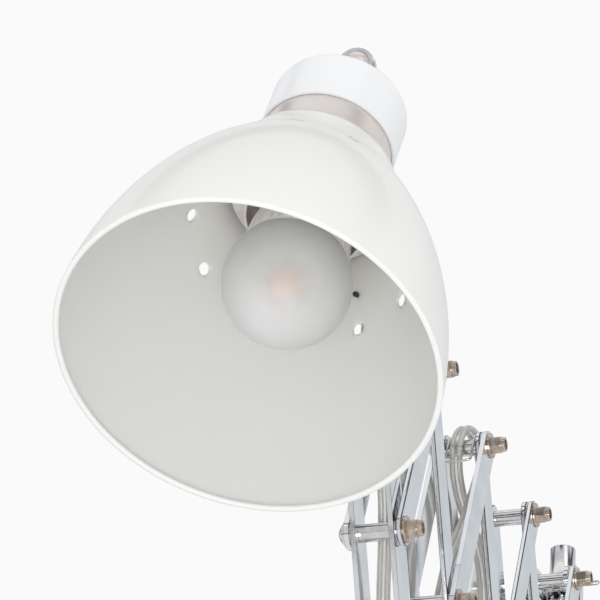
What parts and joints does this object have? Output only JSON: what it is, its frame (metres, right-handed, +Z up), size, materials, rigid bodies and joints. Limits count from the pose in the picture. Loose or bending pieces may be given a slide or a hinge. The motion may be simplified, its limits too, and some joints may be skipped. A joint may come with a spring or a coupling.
{
  "type": "scissor arm wall lamp",
  "caption": "Wall-held lamp with a bell shade on a lazy-tongs scissor arm that swings on an upright post, stretches, folds and tilts its head.",
  "frame": {"origin": "middle of the wall plate's back face", "axes": "+Y into the wall, +Z up, +X to the right seen from the front; the arm reaches along -Y"},
  "size_m": [0.1659, 0.5812, 0.5493],
  "materials": {
    "bright_steel": "polished nickel-chrome plating with fine wear",
    "fastener_steel": "zinc-nickel plated, slightly warm",
    "white_enamel": "glossy white enamel",
    "cap_white": "glossy white enamel",
    "opal_glass": "frosted opal",
    "bulb_ceramic": "pale grey moulding",
    "holder_metal": "pinkish spun metal, satin",
    "socket_plastic": "black phenolic moulding",
    "clear_flex": "clear PVC over two beige cores",
    "black_steel": "black oxide",
    "grip_plastic": "soft white plastic",
    "plug_plastic": "white moulded plastic"
  },
  "bodies": {
    "wall_bracket": {"wall_plate": "bright_steel", "wall_lugs": "bright_steel", "flex_grip": "grip_plastic", "cord": "clear_flex", "coil": "clear_flex", "tail": "clear_flex", "plug": "plug_plastic"},
    "post": {"post": "bright_steel", "top_block": "bright_steel", "block_screw": "black_steel", "cross_pin": "bright_steel", "post_bolt": "bright_steel", "post_tube": "bright_steel", "post_nut": "fastener_steel", "flex_wall": "clear_flex"},
    "bars_a4": {"bar_a4_left": "bright_steel", "bar_a4_right": "bright_steel", "flex_a4": "clear_flex"},
    "bars_b3": {"bar_b3_left": "bright_steel", "bar_b3_right": "bright_steel", "bolts_b3": "bright_steel", "tubes_b3": "bright_steel", "nuts_b3": "fastener_steel"},
    "slider": {"slider": "bright_steel"},
    "bars_b2": {"bar_b2_left": "bright_steel", "bar_b2_right": "bright_steel", "bolts_b2": "bright_steel", "tubes_b2": "bright_steel", "nuts_b2": "fastener_steel", "flex_b2": "clear_flex"},
    "bars_a3": {"bar_a3_left": "bright_steel", "bar_a3_right": "bright_steel"},
    "bars_a2": {"bar_a2_left": "bright_steel", "bar_a2_right": "bright_steel", "flex_a2": "clear_flex"},
    "bars_b1": {"bar_b1_left": "bright_steel", "bar_b1_right": "bright_steel", "bolts_b1": "bright_steel", "tubes_b1": "bright_steel", "nuts_b1": "fastener_steel"},
    "bars_a1": {"bar_a1_left": "bright_steel", "bar_a1_right": "bright_steel"},
    "bars_b0": {"bar_b0_left": "bright_steel", "bar_b0_right": "bright_steel", "bolts_b0": "bright_steel", "tubes_b0": "bright_steel", "nuts_b0": "fastener_steel", "flex_b0": "clear_flex"},
    "head_block": {"head_block": "bright_steel"},
    "stem": {"stem": "bright_steel", "ball_cup": "bright_steel"},
    "lamp_head": {"ball_stud": "bright_steel", "cap": "cap_white", "neck_ring": "bright_steel", "collar": "white_enamel", "shade": "white_enamel", "holder_ring": "holder_metal", "lamp_socket": "socket_plastic", "bulb_neck": "bulb_ceramic", "bulb_globe": "opal_glass"}
  },
  "joints": [
    {"name": "arm_swing", "type": "hinge", "parent": "wall_bracket", "child": "post", "pos_m": [0, -0.032, 0.1], "axis": [0, 0, 1], "range_deg": [-70, 70], "deforming": ["flex_wall"]},
    {"name": "arm_fold", "type": "hinge", "parent": "post", "child": "bars_a4", "pos_m": [0, -0.052, 0.136], "axis": [-1, 0, 0], "range_deg": [-12, 40], "deforming": ["flex_a4"]},
    {"name": "cross_m4", "type": "hinge", "parent": "bars_a4", "child": "bars_b3", "pos_m": [0, -0.09393, 0.03376], "axis": [-1, 0, 0], "range_deg": [-81, 25]},
    {"name": "slider_pivot", "type": "hinge", "parent": "bars_b3", "child": "slider", "pos_m": [0, -0.052, -0.06847], "axis": [-1, 0, 0], "range_deg": [-13, 41]},
    {"name": "low_o3", "type": "hinge", "parent": "bars_a4", "child": "bars_b2", "pos_m": [0, -0.13586, -0.06847], "axis": [-1, 0, 0], "range_deg": [-81, 25], "deforming": ["flex_b2"]},
    {"name": "cross_m3", "type": "hinge", "parent": "bars_b2", "child": "bars_a3", "pos_m": [0, -0.17779, 0.03376], "axis": [-1, 0, 0], "range_deg": [-25, 81]},
    {"name": "top_n2", "type": "hinge", "parent": "bars_b2", "child": "bars_a2", "pos_m": [0, -0.21972, 0.136], "axis": [-1, 0, 0], "range_deg": [-25, 81], "deforming": ["flex_a2"]},
    {"name": "cross_m2", "type": "hinge", "parent": "bars_a2", "child": "bars_b1", "pos_m": [0, -0.26165, 0.03376], "axis": [-1, 0, 0], "range_deg": [-81, 25]},
    {"name": "low_o1", "type": "hinge", "parent": "bars_a2", "child": "bars_b0", "pos_m": [0, -0.30358, -0.06847], "axis": [-1, 0, 0], "range_deg": [-81, 25], "deforming": ["flex_b0"]},
    {"name": "cross_m1", "type": "hinge", "parent": "bars_b0", "child": "bars_a1", "pos_m": [0, -0.34551, 0.03376], "axis": [-1, 0, 0], "range_deg": [-25, 81]},
    {"name": "head_lean", "type": "hinge", "parent": "bars_b0", "child": "head_block", "pos_m": [0, -0.38744, 0.136], "axis": [-1, 0, 0], "range_deg": [-14, 45]},
    {"name": "head_swivel", "type": "hinge", "parent": "head_block", "child": "stem", "pos_m": [0, -0.37144, 0.15], "axis": [0, 0, 1], "range_deg": [-60, 60]},
    {"name": "shade_tilt", "type": "hinge", "parent": "stem", "child": "lamp_head", "pos_m": [0.0035, -0.41584, 0.239], "axis": [-0.9969, -0.0786, 0], "range_deg": [-9, 60]}
  ],
  "couplings": [
    {"joint": "cross_m4", "follows": "arm_fold", "ratio": -2},
    {"joint": "slider_pivot", "follows": "arm_fold", "ratio": 1},
    {"joint": "low_o3", "follows": "arm_fold", "ratio": -2},
    {"joint": "cross_m3", "follows": "arm_fold", "ratio": 2},
    {"joint": "top_n2", "follows": "arm_fold", "ratio": 2},
    {"joint": "cross_m2", "follows": "arm_fold", "ratio": -2},
    {"joint": "low_o1", "follows": "arm_fold", "ratio": -2},
    {"joint": "cross_m1", "follows": "arm_fold", "ratio": 2}
  ]
}
